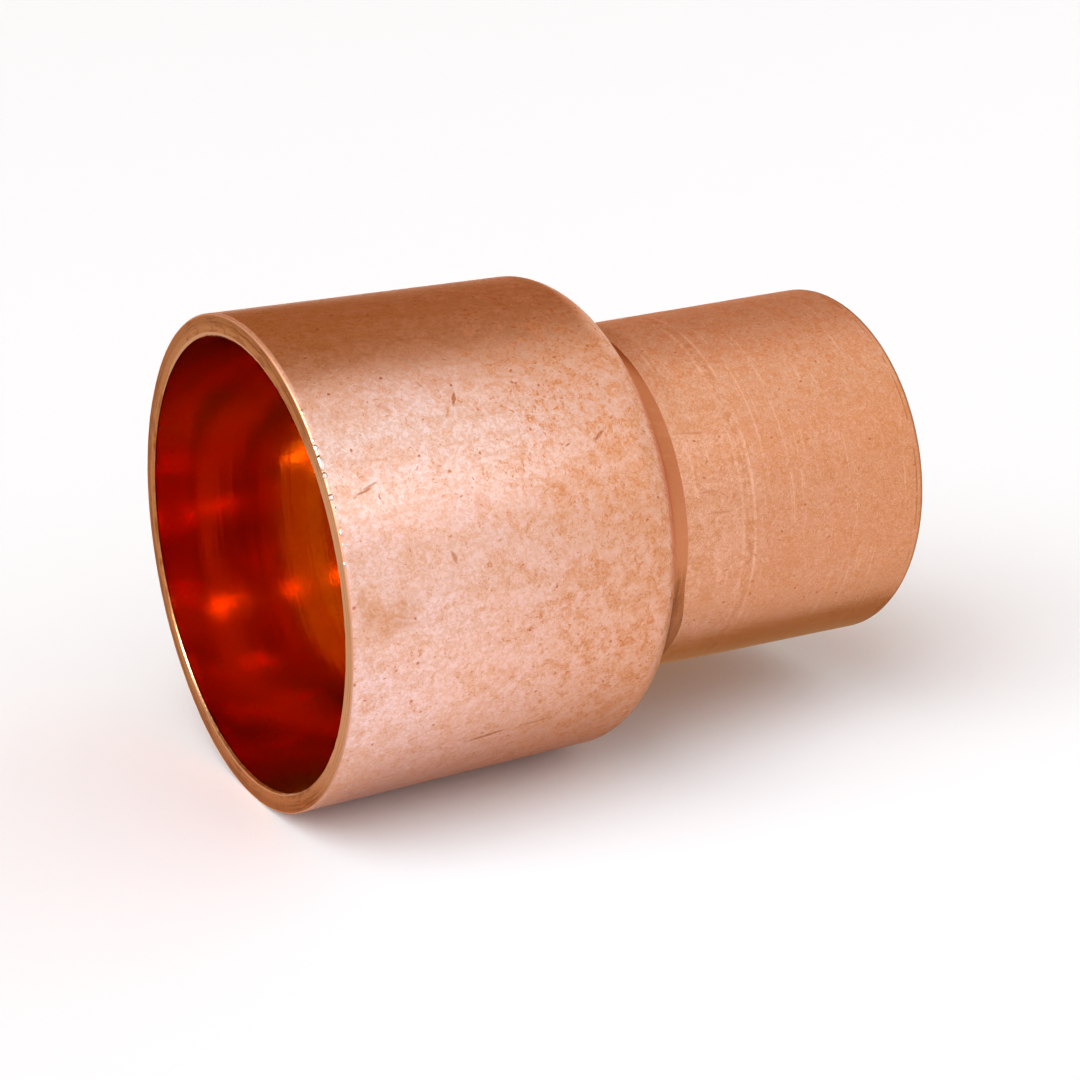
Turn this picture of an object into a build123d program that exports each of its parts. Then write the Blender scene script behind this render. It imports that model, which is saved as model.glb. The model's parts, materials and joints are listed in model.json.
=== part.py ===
"""Concentric reducing coupling in copper, with a plain socket at each end for a soldered or brazed tube.

One seamless tube: its large end is left at full size, the middle is swaged down through a rounded
shoulder and a hollow neck, and its small end is drawn out again to the bore of the smaller tube.

Units are millimetres. +X runs along the axis from the large end to the small one, +Z is up, and the
origin is the centre of the large socket's mouth.
"""

from build123d import *
import math
import os

# ---------------------------------------------------------------- driving dimensions
large_tube_od = 25.4  # copper tube that enters the large socket
small_tube_od = 19.05  # copper tube that enters the small socket
fit_gap = 0.05  # radial room for the solder film

large_wall = 1.125
small_wall = 1.2  # thicker, because swaging down gathers metal
overall_length = 39.2

large_straight = 18.1  # length of the full-size stretch, inside and out
shoulder_radius = 2.33  # outside, where the body turns in
neck_radius = 2.27  # outside, where it turns back along the axis
inner_shoulder_radius = 1.2

neck_od = 20.82  # outside diameter at the bottom of the neck
small_socket_depth = 12.7
tube_stop_length = 0.7  # cone that the small tube comes to rest on

outer_edge_round = 0.1
inner_edge_break = 0.12

# ---------------------------------------------------------------- derived dimensions
large_bore_r = large_tube_od / 2 + fit_gap
small_bore_r = small_tube_od / 2 + fit_gap
large_outer_r = large_bore_r + large_wall
small_outer_r = small_bore_r + small_wall
neck_outer_r = neck_od / 2
throat_r = neck_outer_r - small_wall

# The shoulder and the neck are two arcs that turn the wall in and back by the same angle.
outer_drop = large_outer_r - neck_outer_r
shoulder_turn = math.acos(1 - outer_drop / (shoulder_radius + neck_radius))

# Inside, the arcs turn by that angle too, so the wall keeps nearly the same thickness round the bend.
inner_drop = large_bore_r - throat_r
inner_neck_radius = inner_drop / (1 - math.cos(shoulder_turn)) - inner_shoulder_radius
turn_degrees = math.degrees(shoulder_turn)

small_socket_start = overall_length - small_socket_depth


def shoulder_and_neck(start_r, first_radius, second_radius):
    """Two tangent arcs from the end of the large straight stretch down to the neck, in the XZ plane."""
    shoulder = JernArc((large_straight, start_r), (1, 0), first_radius, -turn_degrees)
    neck = JernArc(shoulder @ 1, shoulder % 1, second_radius, turn_degrees)
    return neck @ 1


def reducer_body():
    """The seamless copper wall, revolved from its half section."""
    with BuildPart() as body:
        with BuildSketch(Plane.XZ):
            with BuildLine():
                Line((0, large_bore_r), (0, large_outer_r))
                Line((0, large_outer_r), (large_straight, large_outer_r))
                neck_end = shoulder_and_neck(large_outer_r, shoulder_radius, neck_radius)
                Line(neck_end, (overall_length, small_outer_r))
                Line((overall_length, small_outer_r), (overall_length, small_bore_r))
                Line((overall_length, small_bore_r), (small_socket_start, small_bore_r))
                stop_end = (small_socket_start - tube_stop_length, throat_r)
                Line((small_socket_start, small_bore_r), stop_end)
                throat_end = shoulder_and_neck(large_bore_r, inner_shoulder_radius, inner_neck_radius)
                Line(stop_end, throat_end)
                Line((large_straight, large_bore_r), (0, large_bore_r))
            make_face()
        revolve(axis=Axis.X)

        rims = body.edges().filter_by(GeomType.CIRCLE)
        large_rim = rims.group_by(Axis.X)[0].sort_by(SortBy.RADIUS)
        small_rim = rims.group_by(Axis.X)[-1].sort_by(SortBy.RADIUS)
        fillet([large_rim[-1], small_rim[-1]], outer_edge_round)
        chamfer([large_rim[0], small_rim[0]], inner_edge_break)
    body.part.label = "reducer_body"
    return body.part


def main():
    os.makedirs("parts", exist_ok=True)
    export_step(reducer_body(), "parts/reducer_body.step")


main()
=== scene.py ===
"""Looks of the copper concentric reducer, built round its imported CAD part.

One mesh stands for the one seamless tube. Its wall follows the CAD half section and carries the small
relief that drawn copper has: turned rings on the end faces, a burr on the mouth, folds in the neck,
sizing rings on the small socket, and walls that are slightly out of true.
"""

import json
import math

import bpy
import numpy as np
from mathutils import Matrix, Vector


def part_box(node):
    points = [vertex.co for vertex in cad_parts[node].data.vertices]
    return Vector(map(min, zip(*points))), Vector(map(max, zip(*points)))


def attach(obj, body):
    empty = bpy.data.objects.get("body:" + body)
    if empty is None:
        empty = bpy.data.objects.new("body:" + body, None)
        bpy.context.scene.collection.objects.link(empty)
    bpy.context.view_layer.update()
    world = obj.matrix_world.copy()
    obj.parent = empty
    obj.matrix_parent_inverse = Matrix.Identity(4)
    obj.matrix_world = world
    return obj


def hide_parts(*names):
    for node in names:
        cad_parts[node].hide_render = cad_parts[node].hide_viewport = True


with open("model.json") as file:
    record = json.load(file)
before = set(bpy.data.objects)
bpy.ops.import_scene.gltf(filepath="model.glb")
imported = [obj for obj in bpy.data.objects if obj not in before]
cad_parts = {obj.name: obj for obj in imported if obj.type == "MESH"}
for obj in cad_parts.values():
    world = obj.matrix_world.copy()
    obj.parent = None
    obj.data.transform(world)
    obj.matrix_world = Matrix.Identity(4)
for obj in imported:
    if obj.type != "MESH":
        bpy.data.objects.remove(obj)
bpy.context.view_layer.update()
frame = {"record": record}

MM = 0.001
NODE = "reducer_body"

# ---------------------------------------------------------------- the part, from the frame, in mm
MOUNTS = {m["name"]: m for m in frame["record"]["mounts"]}
NODE_LOW, NODE_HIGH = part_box(NODE)

LENGTH = NODE_HIGH.x / MM
LARGE_R = NODE_HIGH.z / MM
LARGE_BORE_R = MOUNTS["large_socket"]["dims"]["r_mm"]
SMALL_BORE_R = MOUNTS["small_socket"]["dims"]["r_mm"]

# The rest of the half section repeats the CAD part's own dimensions.
SMALL_WALL = 1.2
SMALL_R = SMALL_BORE_R + SMALL_WALL
STRAIGHT = 18.1
SHOULDER_R, NECK_R, INNER_SHOULDER_R = 2.33, 2.27, 1.2
NECK_OUTER_R = 10.41
THROAT_R = NECK_OUTER_R - SMALL_WALL
SOCKET_DEPTH, STOP_LENGTH = 12.7, 0.7
EDGE_ROUND, EDGE_BREAK = 0.1, 0.12

SUPPORT = 0.05  # spacing of the points that keep a corner of the outline crisp
SIZING_FROM, SIZING_TO = 25.6, 28.6  # the stretch of the small socket that carries the sizing rings

TURN = math.acos(1 - (LARGE_R - NECK_OUTER_R) / (SHOULDER_R + NECK_R))
INNER_NECK_R = (LARGE_BORE_R - THROAT_R) / (1 - math.cos(TURN)) - INNER_SHOULDER_R
NECK_END = STRAIGHT + (SHOULDER_R + NECK_R) * math.sin(TURN)
THROAT_START = STRAIGHT + (INNER_SHOULDER_R + INNER_NECK_R) * math.sin(TURN)
SOCKET_START = LENGTH - SOCKET_DEPTH

AROUND = 384  # mesh divisions round the tube
OUTSIDE, RIM, BORE = 0, 1, 2  # material slots
QUARTER = math.pi / 2


# ---------------------------------------------------------------- half section
def run(start, end, step):
    """Points from start up to, but not including, end, no further apart than step."""
    start, end = np.array(start, float), np.array(end, float)
    count = max(1, math.ceil(np.linalg.norm(end - start) / step))
    return [start + (end - start) * i / count for i in range(count)]


def stretch(start, end, step):
    """Points of a straight stretch, with one close to each end, so that smooth shading turns only there."""
    start, end = np.array(start, float), np.array(end, float)
    along = (end - start) / np.linalg.norm(end - start)
    near, far = start + along * SUPPORT, end - along * SUPPORT
    return [start] + run(near, far, step) + [far]


def arc(centre, radius, from_angle, to_angle, step):
    """Points on an arc in the (x, r) plane, without its last point."""
    count = max(2, math.ceil(abs(to_angle - from_angle) * radius / step))
    angles = [from_angle + (to_angle - from_angle) * i / count for i in range(count)]
    return [np.array((centre[0] + radius * math.cos(a), centre[1] + radius * math.sin(a))) for a in angles]


def socket_point(x):
    """A point on the outside of the small socket, which opens slightly from the neck to its mouth."""
    share = (x - NECK_END) / (LENGTH - NECK_END)
    return (x, NECK_OUTER_R + (SMALL_R - NECK_OUTER_R) * share)


def half_section():
    """The closed outline of the wall as (x, r) points, and the material slot of the strip after each."""
    shoulder = (STRAIGHT, LARGE_R - SHOULDER_R)
    neck = (NECK_END, NECK_OUTER_R + NECK_R)
    inner_shoulder = (STRAIGHT, LARGE_BORE_R - INNER_SHOULDER_R)
    inner_neck = (THROAT_START, THROAT_R + INNER_NECK_R)
    large_edge = (EDGE_ROUND, LARGE_R - EDGE_ROUND)
    small_edge = (LENGTH - EDGE_ROUND, SMALL_R - EDGE_ROUND)
    sizing_from, sizing_to = socket_point(SIZING_FROM), socket_point(SIZING_TO)
    small_face = (LENGTH, SMALL_BORE_R + EDGE_BREAK)
    small_bore = (LENGTH - EDGE_BREAK, SMALL_BORE_R)
    stop_end = (SOCKET_START - STOP_LENGTH, THROAT_R)

    strips = [
        (RIM, run((0, LARGE_BORE_R + EDGE_BREAK), (0, LARGE_R - EDGE_ROUND), 0.05)),
        (OUTSIDE, arc(large_edge, EDGE_ROUND, 2 * QUARTER, QUARTER, 0.06)),
        (OUTSIDE, stretch((EDGE_ROUND, LARGE_R), (STRAIGHT, LARGE_R), 0.6)),
        (OUTSIDE, arc(shoulder, SHOULDER_R, QUARTER, QUARTER - TURN, 0.2)),
        (OUTSIDE, arc(neck, NECK_R, -QUARTER - TURN, -QUARTER, 0.2)),
        (OUTSIDE, run((NECK_END, NECK_OUTER_R), sizing_from, 0.5)),
        (OUTSIDE, run(sizing_from, sizing_to, 0.1)),
        (OUTSIDE, stretch(sizing_to, (LENGTH - EDGE_ROUND, SMALL_R), 0.6)),
        (RIM, arc(small_edge, EDGE_ROUND, QUARTER, 0, 0.06)),
        (RIM, run((LENGTH, SMALL_R - EDGE_ROUND), small_face, 0.1)),
        (RIM, run(small_face, small_bore, 0.09)),
        (BORE, stretch(small_bore, (SOCKET_START, SMALL_BORE_R), 1.2)),
        (BORE, run((SOCKET_START, SMALL_BORE_R), stop_end, 0.25)),
        (BORE, stretch(stop_end, (THROAT_START, THROAT_R), 0.7)),
        (BORE, arc(inner_neck, INNER_NECK_R, -QUARTER, -QUARTER - TURN, 0.3)),
        (BORE, arc(inner_shoulder, INNER_SHOULDER_R, QUARTER - TURN, QUARTER, 0.16)),
        (BORE, stretch((STRAIGHT, LARGE_BORE_R), (EDGE_BREAK, LARGE_BORE_R), 0.8)),
        (RIM, run((EDGE_BREAK, LARGE_BORE_R), (0, LARGE_BORE_R + EDGE_BREAK), 0.06)),
    ]
    outline = np.array([point for _, strip in strips for point in strip])
    slots = np.array([slot for slot, strip in strips for _ in strip])
    return outline, slots


def outline_normals(outline):
    """The outward normal at each point of the closed outline."""
    along = np.roll(outline, -1, axis=0) - np.roll(outline, 1, axis=0)
    normals = np.column_stack((-along[:, 1], along[:, 0]))
    return normals / np.linalg.norm(normals, axis=1)[:, None]


# ---------------------------------------------------------------- relief of the metal, in mm and radians
# Turned rings on an end face, as (place across the wall, depth).
FACE_RINGS = ((0.30, 0.010), (0.47, 0.016), (0.60, 0.028), (0.72, 0.022), (0.83, 0.030))
FACE_RING_WIDTH = 0.045

# Folds in the neck, a little below its front, as (x from the neck's end, depth, width).
NECK_FOLDS = ((-1.0, 0.035, 0.11), (-0.6, 0.045, 0.13), (-0.2, 0.030, 0.10))
FOLDS_AT, FOLDS_SPREAD = -QUARTER - 0.42, 0.26
FOLDS_SLANT = 0.9  # mm along the tube for each radian round it

# Rings that the sizing die left on the small socket, as (x, height, width).
LEFT_RING, GROOVE, RIGHT_RING = 26.35, 26.75, 27.15
SIZING_RINGS = (
    (LEFT_RING, 0.003, 0.10),
    (GROOVE, -0.005, 0.16),
    (RIGHT_RING, 0.004, 0.10),
    (27.9, 0.002, 0.12),
)

MOUTH_REACH = 1.6  # how far along the bore the mouth is oval
BURR_REACH = 0.16  # how far from the mouth's inner edge the burr goes


def bump(value, centre, width):
    """A smooth bump of height 1 at centre."""
    return np.exp(-(((value - centre) / width) ** 2))


def turn_from(theta, centre):
    """Angle from centre to theta, between minus and plus half a turn."""
    return (theta - centre + math.pi) % (2 * math.pi) - math.pi


def ripple(rng, theta, along, lobes, wave, count=24):
    """Smooth unevenness from -1 to 1 or so, with up to lobes waves round the tube and wave mm long along it."""
    total = np.zeros(np.broadcast(theta, along).shape)
    for _ in range(count):
        turns = rng.integers(0, lobes + 1)
        pace = rng.normal() * 2 * math.pi / wave
        total += np.cos(turns * theta + pace * along + rng.uniform(0, 2 * math.pi))
    return total / math.sqrt(count / 2) / 2


def end_face_relief(rng, theta, radius, bore, outer):
    """Turned rings on an end face, deeper towards its outer edge, and broken up round the face."""
    relief = np.zeros(np.broadcast(theta, radius).shape)
    wall = outer - bore
    for place, depth in FACE_RINGS:
        wander = 0.03 * np.sin(theta * 2 + rng.uniform(0, 6)) + 0.015 * np.sin(theta * 5 + rng.uniform(0, 6))
        strength = 0.75 + 0.45 * np.sin(theta * rng.integers(1, 4) + rng.uniform(0, 6))
        relief -= depth * strength * bump(radius, bore + wall * (place + wander), FACE_RING_WIDTH)
    return relief


def facing_out(x, radius):
    """1 on the outer side of the wall and 0 on its inner side, told apart by a radius between the two."""
    past_shoulder = np.interp(x, (STRAIGHT, NECK_END), (LARGE_R, NECK_OUTER_R)) - 2.4
    past_neck = NECK_OUTER_R - 0.21
    between = np.where(x < STRAIGHT, LARGE_R - 0.5, np.where(x < NECK_END, past_shoulder, past_neck))
    return (radius > between).astype(float)


def relief_field(outline, theta):
    """How far the metal stands proud of the CAD wall at each outline point and each angle, in mm."""
    rng = np.random.default_rng(1925)
    x, radius = outline[:, :1], outline[:, 1:]
    theta = theta[None, :]
    on_large_face = (x < 0.02) & (radius > LARGE_BORE_R + 0.1)
    on_small_face = (x > LENGTH - 0.02) & (radius > SMALL_BORE_R + 0.1)
    outside = facing_out(x, radius)

    relief = outside * 0.010 * ripple(rng, theta, x, lobes=9, wave=14)
    relief += outside * 0.004 * ripple(rng, theta, x, lobes=40, wave=5)
    relief += (1 - outside) * 0.012 * ripple(rng, theta, x, lobes=7, wave=9)

    turn = turn_from(theta, FOLDS_AT)
    for place, depth, width in NECK_FOLDS:
        fold = bump(turn, 0, FOLDS_SPREAD) * bump(x, NECK_END + place - FOLDS_SLANT * turn, width)
        relief -= outside * depth * fold

    for place, height, width in SIZING_RINGS:
        strength = 0.8 + 0.3 * np.sin(theta * 2 + rng.uniform(0, 6))
        relief += outside * height * strength * bump(x, place, width)

    relief += on_large_face * end_face_relief(rng, theta, radius, LARGE_BORE_R, LARGE_R)
    relief += on_small_face * end_face_relief(rng, theta, radius, SMALL_BORE_R, SMALL_R)
    return relief


def out_of_round(theta):
    """How far the whole wall strays from a true circle at each angle."""
    return 0.03 * np.cos(2 * (theta - 0.6)) + 0.012 * np.cos(3 * theta + 1.0)


def mouth_burr(theta):
    """How far the burr on the mouth's inner edge stands into the bore at each angle, with nicks in it."""
    rng = np.random.default_rng(77)
    burr = 0.01 + 0.010 * ripple(rng, theta, 0 * theta, lobes=90, wave=1.0, count=40)
    nicks = 26
    for _ in range(nicks):
        depth = rng.uniform(0.01, 0.04)
        place = rng.uniform(0, 2 * math.pi)
        burr -= depth * bump(turn_from(theta, place), 0, rng.uniform(0.012, 0.03))
    return burr


def mouth_oval(outline, theta):
    """How far the bore is widened near the mouth, where the rim is thinner at its sides than at its top."""
    x, radius = outline[:, :1], outline[:, 1:]
    across = (radius - LARGE_BORE_R) / (LARGE_R - LARGE_BORE_R)
    at_mouth = bump(x, 0, MOUTH_REACH) * np.clip(1 - across, 0, 1)
    return at_mouth * (0.06 - 0.19 * np.cos(2 * theta) - 0.05 * np.sin(theta))[None, :]


def tube_mesh():
    """The tube as one closed mesh: AROUND strips of quads that follow the outline."""
    outline, slots = half_section()
    normals = outline_normals(outline)
    theta = np.arange(AROUND) * 2 * math.pi / AROUND
    relief = relief_field(outline, theta)

    x = outline[:, :1] + relief * normals[:, :1]
    radius = outline[:, 1:] + relief * normals[:, 1:] + out_of_round(theta)[None, :]
    radius = radius + mouth_oval(outline, theta)
    at_inner_edge = bump(outline[:, :1], 0, BURR_REACH) * bump(outline[:, 1:], LARGE_BORE_R + 0.05, BURR_REACH)
    radius = radius - at_inner_edge * mouth_burr(theta)[None, :]
    # Nothing stands past the CAD part's box.
    x = np.clip(x, 0, LENGTH)
    radius = np.minimum(radius, LARGE_R)

    count = len(outline)
    places = np.stack((x, radius * np.sin(theta)[None, :], radius * np.cos(theta)[None, :]), axis=-1) * MM
    ring, spoke = np.meshgrid(np.arange(count), np.arange(AROUND), indexing="ij")
    this_ring, next_ring = ring * AROUND, (ring + 1) % count * AROUND
    next_spoke = (spoke + 1) % AROUND
    corners = [this_ring + spoke, this_ring + next_spoke, next_ring + next_spoke, next_ring + spoke]
    faces = np.stack(corners, axis=-1).reshape(-1, 4)

    mesh = bpy.data.meshes.new("reducer_tube")
    mesh.from_pydata(places.reshape(-1, 3).tolist(), [], faces.tolist())
    mesh.polygons.foreach_set("material_index", np.repeat(slots, AROUND))
    mesh.polygons.foreach_set("use_smooth", np.ones(len(faces), bool))
    add_uv_map(mesh, outline, ring, spoke)
    mesh.update()
    return mesh


def add_uv_map(mesh, outline, ring, spoke):
    """Lays the wall out flat, round it by along the outline, in the map named OFBake."""
    steps = np.linalg.norm(np.roll(outline, -1, axis=0) - outline, axis=1)
    reach = np.concatenate(([0], np.cumsum(steps)))
    reach /= reach[-1]
    left, right = spoke / AROUND, (spoke + 1) / AROUND
    low, high = reach[ring], reach[ring + 1]
    corners = [(left, low), (right, low), (right, high), (left, high)]
    flat = np.stack([np.stack(c, axis=-1) for c in corners], axis=2)
    layer = mesh.uv_layers.new(name="OFBake")
    layer.data.foreach_set("uv", flat.astype(np.float32).ravel())


# ---------------------------------------------------------------- materials
class Nodes:
    """Short calls for the nodes of one material."""

    def __init__(self, name):
        self.material = bpy.data.materials.new(name)
        self.material.use_nodes = True
        self.tree = self.material.node_tree
        self.shader = self.tree.nodes["Principled BSDF"]
        self.shader.inputs["Metallic"].default_value = 1.0
        self.place = self.add("ShaderNodeTexCoord").outputs["Object"]

    def add(self, kind, **settings):
        node = self.tree.nodes.new(kind)
        for name, value in settings.items():
            setattr(node, name, value)
        return node

    def link(self, source, target):
        if isinstance(source, bpy.types.NodeSocket):
            self.tree.links.new(source, target)
        else:
            target.default_value = source

    def math(self, operation, *values):
        node = self.add("ShaderNodeMath", operation=operation)
        for value, socket in zip(values, node.inputs):
            self.link(value, socket)
        return node.outputs[0]

    def times(self, first, second):
        return self.math("MULTIPLY", first, second)

    def noise(self, per_mm, detail, roughness, distortion=0.0, stretch=(1, 1, 1), output="Fac", source=None):
        """Noise with per_mm cells in a millimetre, stretched along an axis where its factor is under 1."""
        mapping = self.add("ShaderNodeMapping")
        self.link(source or self.place, mapping.inputs["Vector"])
        mapping.inputs["Scale"].default_value = [s * per_mm / MM for s in stretch]
        node = self.add("ShaderNodeTexNoise")
        self.link(mapping.outputs[0], node.inputs["Vector"])
        settings = {"Scale": 1.0, "Detail": detail, "Roughness": roughness, "Distortion": distortion}
        for name, value in settings.items():
            node.inputs[name].default_value = value
        return node.outputs[output]

    def ramp(self, value, low, high, out_low=0.0, out_high=1.0):
        """value mapped smoothly from low..high to out_low..out_high, and held at the ends."""
        node = self.add("ShaderNodeMapRange", interpolation_type="SMOOTHSTEP")
        self.link(value, node.inputs["Value"])
        for name, number in (("From Min", low), ("From Max", high), ("To Min", out_low), ("To Max", out_high)):
            self.link(number, node.inputs[name])
        return node.outputs["Result"]

    def ramp_mm(self, length, low, high, out_low=0.0, out_high=1.0):
        """A ramp whose low and high are in millimetres."""
        return self.ramp(length, low * MM, high * MM, out_low, out_high)

    def ramp_deg(self, angle, low, high, out_low=0.0, out_high=1.0):
        """A ramp whose low and high are in degrees."""
        return self.ramp(angle, math.radians(low), math.radians(high), out_low, out_high)

    def line_at(self, x, place_mm, core_mm, edge_mm, strength=1.0):
        """A line round the tube: at full strength within core_mm of its place, and gone at edge_mm."""
        away = self.math("ABSOLUTE", self.math("SUBTRACT", x, place_mm * MM))
        return self.ramp_mm(away, core_mm, edge_mm, strength, 0.0)

    def mix(self, share, first, second):
        node = self.add("ShaderNodeMix", data_type="RGBA")
        self.link(share, node.inputs["Factor"])
        for colour, name in ((first, "A"), (second, "B")):
            self.link((*colour, 1) if isinstance(colour, tuple) else colour, node.inputs[name])
        return node.outputs["Result"]

    def tint(self, base, colour, mask, strength=None):
        """base, with colour laid over it where the mask is."""
        return self.mix(mask if strength is None else self.times(mask, strength), base, colour)

    def bump(self, height, strength, distance_mm, under=None):
        node = self.add("ShaderNodeBump")
        self.link(strength, node.inputs["Strength"])
        node.inputs["Distance"].default_value = distance_mm * MM
        self.link(height, node.inputs["Height"])
        if under is not None:
            self.link(under, node.inputs["Normal"])
        return node.outputs["Normal"]

    def round_the_tube(self):
        """Distance along the axis, angle round it (0 at the front, up is positive), and distance from it."""
        parts = self.add("ShaderNodeSeparateXYZ")
        self.link(self.place, parts.inputs[0])
        x, y, z = parts.outputs
        angle = self.math("ARCTAN2", z, self.times(y, -1.0))
        radius = self.math("SQRT", self.math("ADD", self.times(y, y), self.times(z, z)))
        return x, angle, radius

    def rolled_out(self, x, angle):
        """The wall laid flat: x along it, and arc length at the large radius."""
        flat = self.add("ShaderNodeCombineXYZ")
        self.link(x, flat.inputs[0])
        self.link(self.times(angle, LARGE_R * MM), flat.inputs[1])
        return flat.outputs[0]

    def wobbled(self, flat, wobble_mm, wobble_per_mm):
        """A rolled-out wall shifted a little to and fro, for marks with uneven edges."""
        shift = self.noise(wobble_per_mm, 3, 0.6, output="Color")
        centred = self.add("ShaderNodeVectorMath", operation="SUBTRACT")
        self.link(shift, centred.inputs[0])
        centred.inputs[1].default_value = (0.5, 0.5, 0.5)
        scaled = self.add("ShaderNodeVectorMath", operation="SCALE")
        self.link(centred.outputs[0], scaled.inputs[0])
        scaled.inputs["Scale"].default_value = 4 * wobble_mm * MM
        moved = self.add("ShaderNodeVectorMath", operation="ADD")
        self.link(flat, moved.inputs[0])
        self.link(scaled.outputs[0], moved.inputs[1])
        return moved.outputs[0]

    def mark(self, flat, core, x_mm, angle_deg, length_mm, width_mm, tilt_deg):
        """A soft oval mark on the rolled-out wall: 1 inside its core, 0 at its edge."""
        place = self.add("ShaderNodeMapping", vector_type="TEXTURE")
        self.link(flat, place.inputs["Vector"])
        place.inputs["Location"].default_value = (x_mm * MM, math.radians(angle_deg) * LARGE_R * MM, 0)
        place.inputs["Rotation"].default_value = (0, 0, math.radians(tilt_deg))
        place.inputs["Scale"].default_value = (length_mm * MM / 2, width_mm * MM / 2, 1)
        # The third coordinate is dropped, so that a wobble in it can't hide the mark.
        level = self.add("ShaderNodeVectorMath", operation="MULTIPLY")
        self.link(place.outputs[0], level.inputs[0])
        level.inputs[1].default_value = (1, 1, 0)
        reach = self.add("ShaderNodeVectorMath", operation="LENGTH")
        self.link(level.outputs[0], reach.inputs[0])
        return self.ramp(reach.outputs["Value"], core, 1.0, 1.0, 0.0)

    def marks(self, flat, core, places):
        """The strongest of several marks at each point. Each place ends with the mark's own strength."""
        masks = [self.times(self.mark(flat, core, *shape), strength) for *shape, strength in places]
        return self.strongest(*masks)

    def strongest(self, *masks):
        total = masks[0]
        for mask in masks[1:]:
            total = self.math("MAXIMUM", total, mask)
        return total

    def pits(self, flat, spacing_mm, size_mm, share):
        """Round pits on the rolled-out wall: one to a cell, in this share of the cells."""
        cells = self.add("ShaderNodeTexVoronoi", voronoi_dimensions="2D")
        self.link(flat, cells.inputs["Vector"])
        cells.inputs["Scale"].default_value = 1 / (spacing_mm * MM)
        parts = self.add("ShaderNodeSeparateColor")
        self.link(cells.outputs["Color"], parts.inputs[0])
        kept = self.math("LESS_THAN", parts.outputs[0], share)
        size = size_mm / spacing_mm / 2
        return self.times(self.ramp(cells.outputs["Distance"], 0.5 * size, size, 1.0, 0.0), kept)

    def curls(self, per_mm, width, distortion):
        """Thin curling lines: the places where a noise crosses its own middle value."""
        wave = self.noise(per_mm, 2, 0.5, distortion)
        return self.ramp(self.math("ABSOLUTE", self.math("SUBTRACT", wave, 0.5)), 0.0, width, 1.0, 0.0)


# Marks that a person would notice, as (x mm, angle in degrees, length mm, width mm, tilt in degrees, strength).
SCRATCHES = (
    (16.0, 35, 1.2, 0.24, 35, 1.0),
    (1.9, 31.5, 1.3, 0.18, 17, 0.9),
    (2.3, 32.5, 1.2, 0.15, 17, 0.7),
    (8.5, 49, 1.2, 0.28, 67, 1.0),
    (7.0, 54, 0.75, 0.14, -60, 0.6),
    (6.1, 14.7, 0.9, 0.30, -70, 0.8),
    (5.1, 34.5, 0.5, 0.12, 40, 0.6),
    (14.0, 34, 0.5, 0.15, 20, 0.9),
    (8.9, -34, 2.9, 0.30, 8, 0.9),
    (12.0, -33, 2.4, 0.20, 6, 0.7),
    (24.0, 36, 2.4, 0.30, -8, 0.40),
    (24.2, 17, 1.8, 0.26, -6, 0.35),
    (24.8, 10, 2.2, 0.28, -5, 0.40),
)
DOTS = (
    (17.7, 58, 0.30, 0.22, 0, 0.9),
    (9.6, 45.5, 0.20, 0.20, 0, 0.9),
    (12.4, 50.5, 0.26, 0.16, 0, 0.8),
    (14.6, 45, 0.22, 0.16, 0, 0.9),
    (13.3, 47, 0.18, 0.18, 0, 0.8),
    (17.8, 14.5, 0.24, 0.20, 0, 1.0),
    (13.3, -8.5, 0.20, 0.24, 0, 0.9),
    (11.2, -22, 0.22, 0.22, 0, 0.8),
    (4.2, -20, 0.24, 0.16, 0, 0.8),
    (28.0, -2, 0.14, 0.20, 0, 1.0),
    (34.6, 15.5, 0.12, 0.24, 0, 1.0),
    (28.1, 7, 0.12, 0.16, 0, 0.8),
    (27.3, -15.5, 0.34, 0.34, 0, 0.7),
    (29.0, -33, 0.22, 0.18, 0, 0.8),
)
STAINS_AND_SHADE = (
    (2.4, 4, 4.8, 3.0, 15, 0.85),
    (1.2, 6, 2.2, 1.8, 20, 1.0),
    (0.7, 9, 1.0, 1.3, 0, 0.7),
    (4.6, 49, 0.9, 0.7, 0, 0.6),
    (30.0, -11, 2.0, 2.4, 30, 0.8),
    (28.6, -13, 1.4, 1.6, 0, 0.6),
    # Painted shade: the dark underside of the neck carried onto the small socket.
    (24.1, -19, 2.8, 5.5, 0, 0.9),
)


def large_end_colour(n, x, facing, cloud, stain):
    """Pale and pink at the mouth, more orange toward the shoulder."""
    toward_shoulder = n.ramp_mm(x, 3, 19)
    base = n.mix(n.ramp(cloud, 0.36, 0.64), (0.93, 0.66, 0.64), (0.91, 0.58, 0.50))
    base = n.tint(base, (0.77, 0.43, 0.32), toward_shoulder)
    # Painted reflection: more orange toward the top, where the dim side of the studio shows.
    base = n.tint(base, (0.90, 0.58, 0.40), n.ramp_deg(facing, 46, 70, 0.0, 0.7))
    # Painted highlight: a paler band on the upper side, fading toward the shoulder.
    glare = n.ramp_deg(facing, 20, 36, 0.0, n.ramp_deg(facing, 44, 54, 0.8, 0.0))
    base = n.tint(base, (0.97, 0.72, 0.66), glare, n.ramp_mm(x, 8, 17, 1.0, 0.2))
    stained = n.mix(toward_shoulder, (0.79, 0.43, 0.29), (0.69, 0.33, 0.20))
    base = n.tint(base, stained, stain, 0.47)
    return n.tint(base, (0.86, 0.54, 0.41), n.ramp_mm(x, STRAIGHT + 0.6, STRAIGHT + 1.5))


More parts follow.
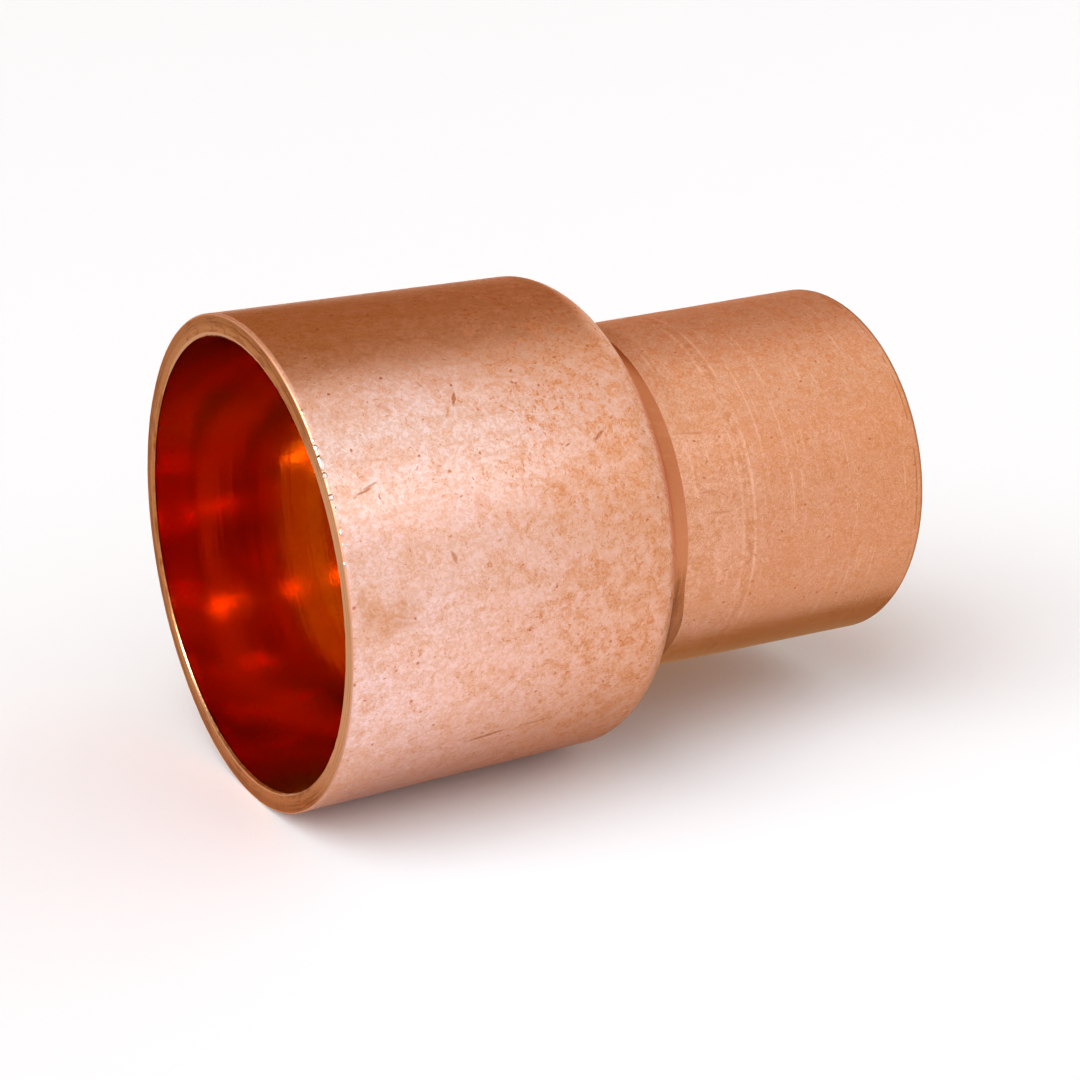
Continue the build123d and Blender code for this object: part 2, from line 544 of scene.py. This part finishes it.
def neck_colour(n, facing):
    """Burnished to a deep orange, with painted shade underneath that is darkest in streaks where the folds are.
    """
    base = n.mix(n.ramp_deg(facing, 5, 30), (0.58, 0.205, 0.09), (0.52, 0.165, 0.065))
    shade_below = n.ramp_deg(facing, -2, -17)
    fold_shade = n.ramp(n.noise(2.4, 4, 0.65, stretch=(1, 0.14, 0.14)), 0.46, 0.58)
    # Painted shade under the neck, darker still in streaks along the folds.
    base = n.tint(base, (0.35, 0.108, 0.030), shade_below)
    return n.tint(base, (0.20, 0.050, 0.011), fold_shade, shade_below)


def small_end_colour(n, x, facing, cloud, stain, fleck):
    """A duller, more even tan, palest beside the neck, with the faint rings that the sizing die left."""
    turned = n.noise(4.5, 3, 0.6, stretch=(1, 0.02, 0.02))
    turned_patch = n.noise(0.45, 4, 0.6)
    tan = n.mix(n.ramp(cloud, 0.36, 0.64), (0.73, 0.35, 0.225), (0.69, 0.30, 0.17))
    tan = n.tint(tan, (0.84, 0.46, 0.33), n.ramp_mm(x, 24, 28.5, 0.75, 0.0))
    tan = n.tint(tan, (0.68, 0.27, 0.12), n.ramp_mm(x, 30, 38, 0.0, 0.8))
    # Painted sheen: paler and less saturated toward the top.
    tan = n.tint(tan, (0.68, 0.40, 0.26), n.ramp_deg(facing, 30, 52, 0.0, 0.8))
    tan = n.tint(tan, (0.64, 0.26, 0.125), stain, 0.40)
    tan = n.tint(tan, (0.58, 0.225, 0.095), n.ramp(fleck, 0.50, 0.60, 0.0, 0.45))
    tan = n.tint(tan, (0.55, 0.21, 0.09), n.curls(2.8, 0.10, 2.6), 0.60)
    tan = n.tint(tan, (0.92, 0.58, 0.44), n.curls(2.0, 0.06, 2.2), 0.34)

    # Fine turning marks in patches, then the die's two pale rings with a row of beads between them.
    turning = n.times(n.ramp(turned, 0.57, 0.66), n.ramp(turned_patch, 0.44, 0.56))
    tan = n.tint(tan, (0.92, 0.58, 0.43), turning, 0.42)
    for place, strength in ((LEFT_RING, 0.34), (RIGHT_RING, 0.45)):
        ring = n.line_at(x, place, 0.03, 0.15, strength)
        tan = n.tint(tan, (0.92, 0.56, 0.41), ring, n.ramp(turned_patch, 0.38, 0.56, 0.1, 1.0))
    beads = n.times(n.line_at(x, GROOVE, 0.12, 0.34), n.ramp(n.noise(2.4, 3, 0.6), 0.49, 0.55))
    tan = n.tint(tan, (0.52, 0.19, 0.075), beads, 0.60)

    # A broken dark line just before the end, and the dark end edge.
    end_line = n.line_at(x, LENGTH - 0.45, 0.02, 0.09, 0.8)
    tan = n.tint(tan, (0.36, 0.12, 0.04), end_line, n.ramp(turned_patch, 0.46, 0.54))
    return n.tint(tan, (0.34, 0.115, 0.035), n.ramp_mm(x, LENGTH - 0.26, LENGTH - 0.12, 0.0, 0.85))


def outside_copper():
    """Satin drawn copper: cloudy and stained, mottled toward the shoulder, matt on the small socket."""
    n = Nodes("copper_outside")
    x, angle, _ = n.round_the_tube()
    flat = n.wobbled(n.rolled_out(x, angle), 0.05, 3.0)
    soft_flat = n.wobbled(n.rolled_out(x, angle), 0.35, 0.9)
    # How far the wall faces up or down: the angle itself in front, and mirrored behind so that no tone steps.
    facing = n.math("ARCSINE", n.math("SINE", angle))

    # The large end with its shoulder, and the small socket. The neck is what neither covers.
    large = n.ramp_mm(x, STRAIGHT + 2.0, STRAIGHT + 2.3, 1.0, 0.0)
    # At the bottom the small socket starts up to half a millimetre later, so the neck's painted shade runs onto
    # it.
    past_neck = n.math("SUBTRACT", x, n.ramp_deg(facing, -10, -32, 0.0, 0.5 * MM))
    small = n.ramp_mm(past_neck, NECK_END - 0.02, NECK_END + 0.04)
    toward_shoulder = n.ramp_mm(x, 3, 19)

    cloud = n.noise(0.16, 3, 0.55, 0.4)
    blotch = n.noise(1.0, 6, 0.70, 0.7)
    speckle = n.noise(2.4, 5, 0.72, 1.0)
    fleck = n.noise(3.6, 4, 0.7, 1.4)
    crawl = n.noise(3.8, 4, 0.70, 2.0)
    fine = n.noise(4.2, 3, 0.6, 0.8)
    grain = n.noise(11.0, 2, 0.6)
    streak = n.noise(1.5, 4, 0.6, 0.3, stretch=(0.10, 1, 1))

    # Broad orange stains, then brown mottling, curls and flecks that thicken toward the shoulder.
    stain = n.ramp(blotch, 0.43, 0.60)
    crowding = n.ramp(toward_shoulder, 0, 1, -0.05, 0.03)
    crowding = n.math("ADD", n.ramp(blotch, 0.36, 0.62, -0.07, 0.05), crowding)
    mottle = n.ramp(n.math("ADD", crawl, crowding), 0.54, 0.61)
    broken = n.ramp(n.noise(0.9, 4, 0.65), 0.50, 0.60)
    curls = n.times(n.strongest(n.curls(0.9, 0.040, 1.6), n.curls(1.8, 0.065, 2.2)), broken)
    curls = n.times(curls, n.ramp(toward_shoulder, 0, 1, 0.25, 1.0))
    flecks = n.ramp(n.math("ADD", fleck, crowding), 0.58, 0.63)
    pits = n.strongest(n.pits(flat, 1.7, 0.22, 0.20), n.pits(soft_flat, 0.9, 0.13, 0.10))
    dots = n.times(n.strongest(pits, n.marks(flat, 0.5, DOTS)), n.strongest(large, small))
    scratches = n.marks(flat, 0.45, SCRATCHES)
    placed_stains_and_shade = n.times(n.marks(soft_flat, 0.1, STAINS_AND_SHADE), n.ramp(speckle, 0.36, 0.56, 0.35, 1.0))

    base = n.mix(large, neck_colour(n, facing), large_end_colour(n, x, facing, cloud, stain))
    base = n.mix(small, base, small_end_colour(n, x, facing, cloud, stain, fleck))
    # Painted shade: darker and browner toward the bottom.
    base = n.tint(base, (0.62, 0.30, 0.17), n.ramp_deg(facing, 0, -58, 0.0, 0.36))

    # The mottling lies thick on the large end, half as thick on the small socket, and hardly in the neck.
    spread = n.ramp(large, 0, 1, n.ramp(small, 0, 1, 0.05, 0.55), 1.0)
    base = n.tint(base, (0.69, 0.28, 0.11), mottle, n.times(spread, 0.55))
    base = n.tint(base, (0.66, 0.245, 0.075), curls, n.times(spread, 0.60))
    base = n.tint(base, (0.58, 0.19, 0.05), flecks, n.times(spread, 0.85))
    base = n.tint(base, (0.62, 0.26, 0.115), placed_stains_and_shade, 0.88)
    base = n.tint(base, (0.42, 0.11, 0.026), scratches, 0.90)
    base = n.tint(base, (0.44, 0.10, 0.022), dots, 0.85)

    # Tiny beads of burr along the mouth's outer edge, bumped and glossy, catch the light one by one. They carry
    # painted white glints on the side where the lamps shine, and the very edge between them is a darker tan.
    at_mouth = n.ramp_mm(x, 0.16, 0.34, 1.0, 0.0)
    lit = n.times(n.ramp_deg(angle, 14, 22), n.ramp_deg(angle, 54, 48))
    beads = n.strongest(n.pits(flat, 0.62, 0.36, 0.55), n.mark(flat, 0.6, 0.1, 39, 0.5, 0.9, 0))
    beads = n.times(beads, n.times(at_mouth, lit))
    base = n.tint(base, (0.52, 0.27, 0.16), n.ramp_mm(x, 0.04, 0.12, 0.9, 0.0))
    base = n.tint(base, (1.0, 0.96, 0.92), beads)

    base = n.tint(base, (0.62, 0.26, 0.11), n.ramp(streak, 0.52, 0.75, 0.0, 0.30))
    base = n.tint(base, (0.70, 0.31, 0.155), n.ramp(fine, 0.42, 0.60, 0.0, 0.42), spread)
    base = n.tint(base, (0.66, 0.31, 0.165), n.ramp(grain, 0.35, 0.75, 0.0, 0.20))
    n.link(base, n.shader.inputs["Base Color"])
    n.shader.inputs["Specular Tint"].default_value = (0.85, 0.68, 0.58, 1)

    large_rough = n.ramp_mm(x, 0.0, 18, 0.27, 0.33)
    small_rough = n.ramp_deg(facing, 30, 60, 0.40, 0.53)
    small_rough = n.ramp_deg(facing, -10, -25, small_rough, 0.22)
    rough = n.ramp(small, 0, 1, large_rough, small_rough)
    rough = n.math("ADD", rough, n.times(stain, n.times(large, 0.06)))
    rough = n.math("ADD", rough, n.times(mottle, n.times(large, 0.08)))
    rough = n.ramp(at_mouth, 0, 1, rough, n.ramp(beads, 0.0, 0.4, 0.50, 0.10))
    n.link(rough, n.shader.inputs["Roughness"])

    skin = n.bump(grain, 0.35, 0.02)
    skin = n.bump(n.strongest(dots, scratches), 0.4, -0.03, skin)
    skin = n.bump(speckle, n.ramp(small, 0, 1, 0.10, 0.30), 0.03, skin)
    n.link(n.bump(beads, at_mouth, 0.08, skin), n.shader.inputs["Normal"])
    return n.material


def rim_copper():
    """The sawn and turned end faces: browner than the wall, with darker rings near the outer edge."""
    n = Nodes("copper_rim")
    x, angle, radius = n.round_the_tube()
    grain = n.noise(6.0, 4, 0.6)
    patch = n.noise(0.30, 2, 0.5)
    # Place across the large end's face: 0 at its bore, 1 at its outer edge.
    wall = (LARGE_R - LARGE_BORE_R) * MM
    across = n.math("DIVIDE", n.math("SUBTRACT", radius, LARGE_BORE_R * MM), wall)
    wander = n.math("ADD", across, n.ramp(n.noise(0.5, 2, 0.5), 0.3, 0.7, -0.05, 0.05))
    wave = n.math("SINE", n.times(wander, 34.0))
    rings = n.times(n.ramp(wave, 0.1, 0.9), n.ramp(across, 0.36, 0.55))
    rings = n.times(rings, n.ramp(patch, 0.40, 0.58, 0.15, 1.0))
    around = n.noise(2.2, 4, 0.6, stretch=(1.6, 0.30, 1), source=n.rolled_out(radius, angle))
    smear = n.times(n.ramp(around, 0.48, 0.58), n.ramp(patch, 0.42, 0.54))
    # The face is paler in front, which is painted light, and dull with smears at the top, the bottom and
    # behind.
    wear_and_painted_front_light = n.ramp_deg(n.math("ABSOLUTE", angle), 25, 60)

    base = n.mix(n.ramp(grain, 0.3, 0.7), (0.46, 0.178, 0.062), (0.40, 0.145, 0.046))
    base = n.tint(base, (0.32, 0.098, 0.023), n.ramp(across, 0.35, 0.60, 0.0, 0.75))
    base = n.tint(base, (0.66, 0.34, 0.175), n.ramp(wear_and_painted_front_light, 0, 1, 0.75, 0.0))
    base = n.tint(base, (0.26, 0.068, 0.014), smear, n.times(wear_and_painted_front_light, 0.8))
    base = n.tint(base, (0.20, 0.052, 0.010), rings, n.ramp(wear_and_painted_front_light, 0, 1, 0.3, 0.85))
    base = n.tint(base, (0.22, 0.06, 0.012), n.ramp(across, 0.90, 0.98, 0.0, 0.6))
    at_bore = n.ramp(n.math("ABSOLUTE", across), 0.08, 0.13, 1.0, 0.0)
    base = n.tint(base, (0.56, 0.27, 0.14), at_bore)
    small_edge = n.times(n.ramp_mm(x, 20, 21), n.ramp_mm(radius, SMALL_R - 0.14, SMALL_R - 0.08))
    base = n.tint(base, (0.24, 0.075, 0.02), small_edge)
    n.link(base, n.shader.inputs["Base Color"])
    n.shader.inputs["Specular Tint"].default_value = (0.90, 0.72, 0.60, 1)

    rough = n.math("ADD", n.ramp(grain, 0.3, 0.7, 0.28, 0.38), n.times(at_bore, -0.1))
    n.link(rough, n.shader.inputs["Roughness"])
    n.link(n.bump(grain, 0.3, 0.03), n.shader.inputs["Normal"])
    return n.material


def bore_copper():
    """The bright inner wall. Light meets it many times on the way out, so it looks a deep red."""
    n = Nodes("copper_bore")
    x, _, _ = n.round_the_tube()
    cloud = n.noise(0.25, 4, 0.55)
    grain = n.noise(5.0, 4, 0.6)
    turned = n.noise(2.5, 3, 0.6, stretch=(1, 0.04, 0.04))
    wall = n.mix(n.ramp(cloud, 0.3, 0.7), (0.845, 0.215, 0.014), (0.82, 0.19, 0.010))
    reducing = n.mix(n.ramp(cloud, 0.3, 0.7), (0.48, 0.265, 0.048), (0.44, 0.235, 0.040))
    small_wall = (0.68, 0.22, 0.03)
    base = n.mix(n.ramp_mm(x, STRAIGHT - 0.1, STRAIGHT + 0.8), wall, reducing)
    base = n.tint(base, small_wall, n.ramp_mm(x, THROAT_START, THROAT_START + 0.8))
    base = n.tint(base, (0.52, 0.09, 0.004), n.ramp(grain, 0.4, 0.7, 0.0, 0.20))
    # A painted dark line of shade under the burr, where the broken edge of the mouth ends.
    base = n.mix(n.ramp_mm(x, 0.14, 0.26), (0.16, 0.012, 0.001), base)
    n.link(base, n.shader.inputs["Base Color"])
    n.link(n.ramp(grain, 0.3, 0.7, 0.085, 0.115), n.shader.inputs["Roughness"])
    skin = n.bump(grain, 0.12, 0.02)
    n.link(n.bump(turned, 0.25, 0.02, skin), n.shader.inputs["Normal"])
    return n.material


# ---------------------------------------------------------------- studio
LAMP_DISTANCE, LAMP_SIZE, LAMP_POWER = 0.45, 0.030, 1.8  # m, m and W
LEFT_HIGH, LEFT_LOW = (-0.80, -0.10, 0.59), (-0.51, -0.32, 0.79)  # toward the two lamps at the left
BEAM_POWER = 150.0


def add_object(name, data):
    item = bpy.data.objects.new(name, data)
    bpy.context.scene.collection.objects.link(item)
    return item


def point(light, direction):
    """Turns a light to shine along a direction."""
    light.rotation_euler = Vector(direction).to_track_quat("-Z", "Y").to_euler()


def soft_light(name, direction, distance, size, power, floor=True):
    """A square soft light that faces the part from a direction, for the metal and, if floor, for the floor."""
    data = bpy.data.lights.new(name, "AREA")
    data.shape, data.size, data.energy = "SQUARE", size, power
    light = add_object(name, data)
    middle = (NODE_LOW + NODE_HIGH) / 2
    light.location = middle + Vector(direction).normalized() * distance
    point(light, middle - light.location)
    light.visible_camera = False
    light.visible_diffuse = floor


def bore_beam(name, direction, power, cone_deg, size_mm):
    """A narrow beam through the mouth, for the small bright reflections deep in the bore."""
    data = bpy.data.lights.new(name, "SPOT")
    data.energy, data.color = power, (0.45, 1.0, 0.32)
    data.spot_size, data.spot_blend, data.shadow_soft_size = math.radians(cone_deg), 0.1, size_mm * MM
    light = add_object(name, data)
    light.location = Vector(direction).normalized() * LAMP_DISTANCE
    point(light, -light.location)
    light.visible_camera = light.visible_diffuse = False


def floor_sun(name, direction, spread_deg, strength):
    """Even light on the floor alone. Its shadow falls under the small socket and to its right."""
    data = bpy.data.lights.new(name, "SUN")
    data.angle, data.energy, data.color = math.radians(spread_deg), strength, (0.90, 0.96, 1.0)
    light = add_object(name, data)
    point(light, -Vector(direction))
    light.visible_glossy = False


def flat_sheet(name, corners, height, material_name):
    """A flat sheet for the stage, and the shader of its material."""
    mesh = bpy.data.meshes.new(name)
    mesh.from_pydata([(x, y, height) for x, y in corners], [], [(0, 1, 2, 3)])
    material = bpy.data.materials.new(material_name)
    material.use_nodes = True
    mesh.materials.append(material)
    sheet = add_object(name, mesh)
    return sheet, material.node_tree.nodes["Principled BSDF"]


def brown_card():
    """A dim brown card just above the floor, behind and under the small socket, standing in for the shadow
    there. Only the metal sees it, as a painted shadow.
    """
    left, right, back = 24 * MM, 54 * MM, 24 * MM
    front_left, front_right = -7.0 * MM, -9.2 * MM
    corners = [(left, front_left), (right, front_right), (right, back), (left, back)]
    card, shader = flat_sheet("brown_card", corners, NODE_LOW.z + 0.4 * MM, "card_brown")
    card.visible_camera = card.visible_diffuse = card.visible_shadow = False
    shader.inputs["Base Color"].default_value = (0, 0, 0, 1)
    shader.inputs["Emission Color"].default_value = (0.46, 0.33, 0.18, 1)
    shader.inputs["Emission Strength"].default_value = 1.0


def floor():
    """A plain pale floor at the part's lowest point."""
    half = 3.0  # m, so that its edge stays out of every view
    corners = [(-half, -half), (half, -half), (half, half), (-half, half)]
    _, shader = flat_sheet("floor", corners, NODE_LOW.z, "floor_white")
    shader.inputs["Base Color"].default_value = (0.84, 0.87, 0.90, 1)
    shader.inputs["Roughness"].default_value = 0.75
    shader.inputs["Specular IOR Level"].default_value = 0.2


def studio_world():
    """A white tent of light with one dim brown side behind and above, which the metal shows as a dark band."""
    dim_side = Vector((-0.04, 0.75, 0.65)).normalized()
    white, tan, brown = (1.0, 1.0, 1.0, 1), (0.72, 0.48, 0.30, 1), (0.36, 0.152, 0.030, 1)
    world = bpy.data.worlds.new("studio")
    world.use_nodes = True
    tree = world.node_tree
    tree.nodes.clear()
    place = tree.nodes.new("ShaderNodeTexCoord")
    nearness = tree.nodes.new("ShaderNodeVectorMath")
    nearness.operation = "DOT_PRODUCT"
    nearness.inputs[1].default_value = dim_side
    ramp = tree.nodes.new("ShaderNodeValToRGB")
    background = tree.nodes.new("ShaderNodeBackground")
    output = tree.nodes.new("ShaderNodeOutputWorld")
    tree.links.new(place.outputs["Generated"], nearness.inputs[0])
    tree.links.new(nearness.outputs["Value"], ramp.inputs[0])
    tree.links.new(ramp.outputs[0], background.inputs["Color"])
    tree.links.new(background.outputs[0], output.inputs[0])
    first, last = ramp.color_ramp.elements
    first.position, first.color = 0.58, white
    last.position, last.color = 0.74, brown
    ramp.color_ramp.elements.new(0.67).color = tan
    bpy.context.scene.world = world


def camera():
    """The view into the large socket from its left, close enough for a strong perspective."""
    data = bpy.data.cameras.new("camera")
    data.lens, data.sensor_width = 73.1, 36.0
    data.clip_start, data.clip_end = 0.005, 20.0
    azimuth, elevation = math.radians(-30.70), math.radians(19.08)
    back = Vector((
        math.sin(azimuth) * math.cos(elevation),
        -math.cos(azimuth) * math.cos(elevation),
        math.sin(elevation),
    ))
    view = add_object("camera", data)
    place_in_large_radii = Vector((-3.149, -7.622, 2.931))
    view.location = place_in_large_radii * LARGE_R * MM
    view.rotation_mode = "QUATERNION"
    view.rotation_quaternion = (-back).to_track_quat("-Z", "Y")
    bpy.context.scene.camera = view


# ---------------------------------------------------------------- scene
tube = add_object("reducer_tube", tube_mesh())
for material in (outside_copper(), rim_copper(), bore_copper()):
    tube.data.materials.append(material)
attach(tube, "root")
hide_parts(NODE)

camera()
floor()
brown_card()
studio_world()
soft_light("front_softbox", (0.22, -0.78, 0.58), 0.50, 0.20, 0.07)
soft_light("left_lamp_high", LEFT_HIGH, LAMP_DISTANCE, LAMP_SIZE, LAMP_POWER, floor=False)
soft_light("left_lamp_low", LEFT_LOW, LAMP_DISTANCE, LAMP_SIZE, LAMP_POWER, floor=False)
bore_beam("bore_beam_high", LEFT_HIGH, BEAM_POWER, 1.6, 3.5)
bore_beam("bore_beam_low", LEFT_LOW, BEAM_POWER, 1.1, 3.0)
floor_sun("high_left_sun", (-0.62, -0.20, 0.76), 60, 2.0)
bpy.context.scene.view_settings.view_transform = "Standard"
bpy.context.scene.cycles.glossy_bounces = 9  # light crosses the bore up to nine times before it leaves
